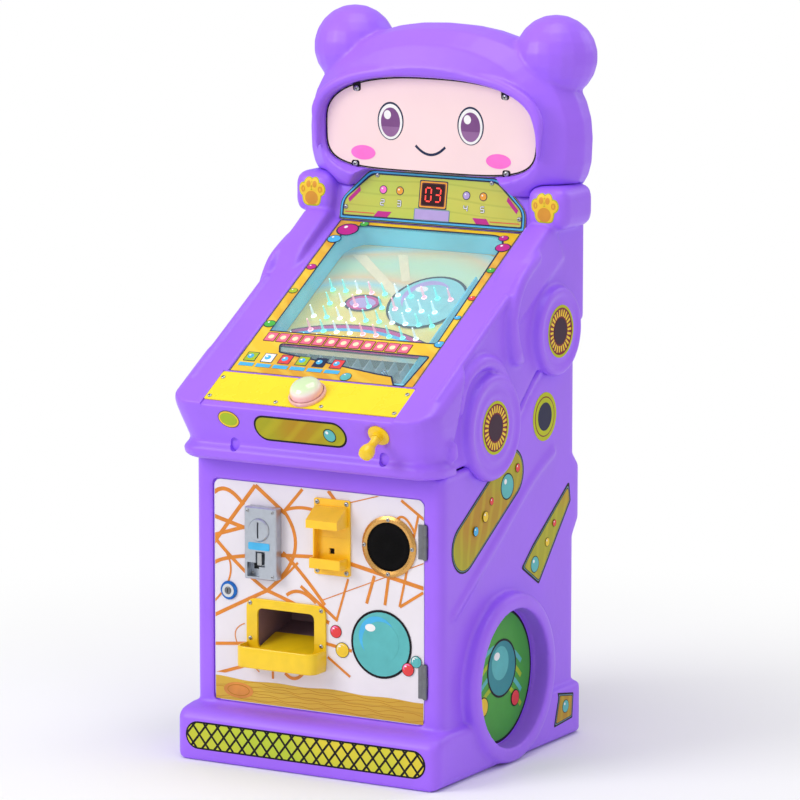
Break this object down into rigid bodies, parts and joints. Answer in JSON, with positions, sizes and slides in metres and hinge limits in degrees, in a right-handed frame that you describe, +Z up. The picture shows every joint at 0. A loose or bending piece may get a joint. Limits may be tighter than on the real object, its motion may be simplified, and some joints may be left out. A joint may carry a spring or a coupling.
{
  "type": "pinball cabinet",
  "caption": "Coin-operated marble pinball cabinet for children: moulded shell with bear-eared hood, sloped glazed playfield, plunger, button and a locking front door with prize tray.",
  "frame": {"origin": "on the floor, under the middle of the overall width and depth", "axes": "+Z up, -Y towards the player at the front, +X to the right as the player sees it"},
  "size_m": [0.5544, 0.6613, 1.279],
  "materials": {
    "purple_polyethylene": "rotomoulded polyethylene, semi-gloss, fine orange peel",
    "yellow_abs": "injection-moulded yellow ABS",
    "printed_ochre_panel": "digitally printed film on board",
    "printed_white_sheet": "coated sheet steel with a printed film",
    "white_abs": "white ABS",
    "pink_acrylic": "back-printed acrylic",
    "printed_lime_panel": "printed acrylic",
    "clear_acrylic": "clear acrylic sheet",
    "teal_acrylic": "translucent acrylic",
    "zinc_plated_steel": "zinc plate",
    "grey_zinc_casting": "silver-grey painted zinc casting",
    "chromed_brass": "bright chrome",
    "anodised_gold_ring": "gold anodised, satin",
    "black_abs": "fine-grained black ABS",
    "blue_abs": "blue ABS",
    "green_circuit_board": "solder-masked circuit board",
    "grey_sheet_steel": "galvanised sheet steel",
    "glass_marble": "glass marble"
  },
  "bodies": {
    "cabinet": {"lower_cabinet": "purple_polyethylene", "upper_shell": "purple_polyethylene", "head_hood": "purple_polyethylene", "face_panel": "pink_acrylic", "face_light_box": "white_abs", "display_panel": "printed_lime_panel", "display_module": "black_abs", "playfield_glass": "clear_acrylic", "playfield_frame": "teal_acrylic", "playfield_board": "printed_ochre_panel", "pin_field": "clear_acrylic", "pocket_comb": "clear_acrylic", "control_plate": "yellow_abs", "button_housing": "pink_acrylic", "button_switch": "black_abs", "plunger_flange": "yellow_abs", "plunger_spring": "zinc_plated_steel", "hinge_lower_frame_leaf": "zinc_plated_steel", "hinge_lower_pin": "zinc_plated_steel", "hinge_upper_frame_leaf": "zinc_plated_steel", "hinge_upper_pin": "zinc_plated_steel", "shelf": "grey_sheet_steel", "hopper_bowl": "white_abs", "hopper_motor": "zinc_plated_steel", "cash_box": "grey_sheet_steel", "power_supply": "zinc_plated_steel", "control_board": "green_circuit_board", "rear_cover": "black_abs", "power_inlet": "black_abs", "power_switch_frame": "black_abs"},
    "door": {"front_door": "printed_white_sheet", "hinge_lower_door_leaf": "zinc_plated_steel", "hinge_upper_door_leaf": "zinc_plated_steel", "lock_barrel": "chromed_brass", "coin_plate": "grey_zinc_casting", "coin_slot_disc": "chromed_brass", "coin_mechanism": "grey_sheet_steel", "payment_bracket": "yellow_abs", "speaker_ring": "anodised_gold_ring", "speaker_grille": "black_abs", "speaker_driver": "black_abs", "prize_tray": "yellow_abs", "prize_chute": "yellow_abs"},
    "lock_plug": {"lock_cylinder": "chromed_brass", "lock_cam": "zinc_plated_steel"},
    "coin_lever": {"coin_return_lever": "chromed_brass"},
    "button": {"dome_button": "pink_acrylic"},
    "plunger": {"plunger_rod": "chromed_brass", "plunger_knob": "yellow_abs"},
    "gate": {"pocket_gate": "zinc_plated_steel"},
    "hopper": {"hopper_disc": "blue_abs"},
    "rocker": {"power_rocker": "black_abs"},
    "lane_marble": {"marble_1": "glass_marble"},
    "pocket_marble_left": {"marble_2": "glass_marble"},
    "pocket_marble_middle": {"marble_3": "glass_marble"},
    "pocket_marble_right": {"marble_4": "glass_marble"}
  },
  "joints": [
    {"name": "door_hinge", "type": "hinge", "parent": "cabinet", "child": "door", "pos_m": [0.2135, -0.22185, 0.102], "axis": [0, 0, 1], "range_deg": [0, 105]},
    {"name": "lock_turn", "type": "hinge", "parent": "door", "child": "lock_plug", "pos_m": [-0.18, -0.21835, 0.298], "axis": [0, 1, 0], "range_deg": [0, 90]},
    {"name": "coin_lever_press", "type": "hinge", "parent": "door", "child": "coin_lever", "pos_m": [-0.1045, -0.23135, 0.3725], "axis": [1, 0, 0], "range_deg": [0, 20], "stiffness_Nm_per_rad": 0.05},
    {"name": "button_press", "type": "slide", "parent": "cabinet", "child": "button", "axis": [0, 0.5, -0.866], "range_m": [0, 0.004], "stiffness_N_per_m": 400},
    {"name": "plunger_pull", "type": "slide", "parent": "cabinet", "child": "plunger", "axis": [0, -0.866, -0.5], "range_m": [0, 0.035], "stiffness_N_per_m": 120, "deforming": ["plunger_spring"]},
    {"name": "gate_slide", "type": "slide", "parent": "cabinet", "child": "gate", "axis": [1, 0, 0], "range_m": [0, 0.01225]},
    {"name": "hopper_turn", "type": "hinge", "parent": "cabinet", "child": "hopper", "pos_m": [-0.063, -0.04335, 0.3083], "axis": [0, 0, 1], "continuous": true},
    {"name": "rocker_tip", "type": "hinge", "parent": "cabinet", "child": "rocker", "pos_m": [-0.11, 0.25665, 0.1225], "axis": [0, 0, 1], "range_deg": [0, 16]},
    {"name": "lane_marble_run", "type": "slide", "parent": "cabinet", "child": "lane_marble", "axis": [0, 0.866, 0.5], "range_m": [0, 0.25]},
    {"name": "pocket_marble_left_run", "type": "slide", "parent": "cabinet", "child": "pocket_marble_left", "axis": [0, 0.866, 0.5], "range_m": [0, 0.02]},
    {"name": "pocket_marble_middle_run", "type": "slide", "parent": "cabinet", "child": "pocket_marble_middle", "axis": [0, 0.866, 0.5], "range_m": [0, 0.02]},
    {"name": "pocket_marble_right_run", "type": "slide", "parent": "cabinet", "child": "pocket_marble_right", "axis": [0, 0.866, 0.5], "range_m": [0, 0.02]}
  ]
}
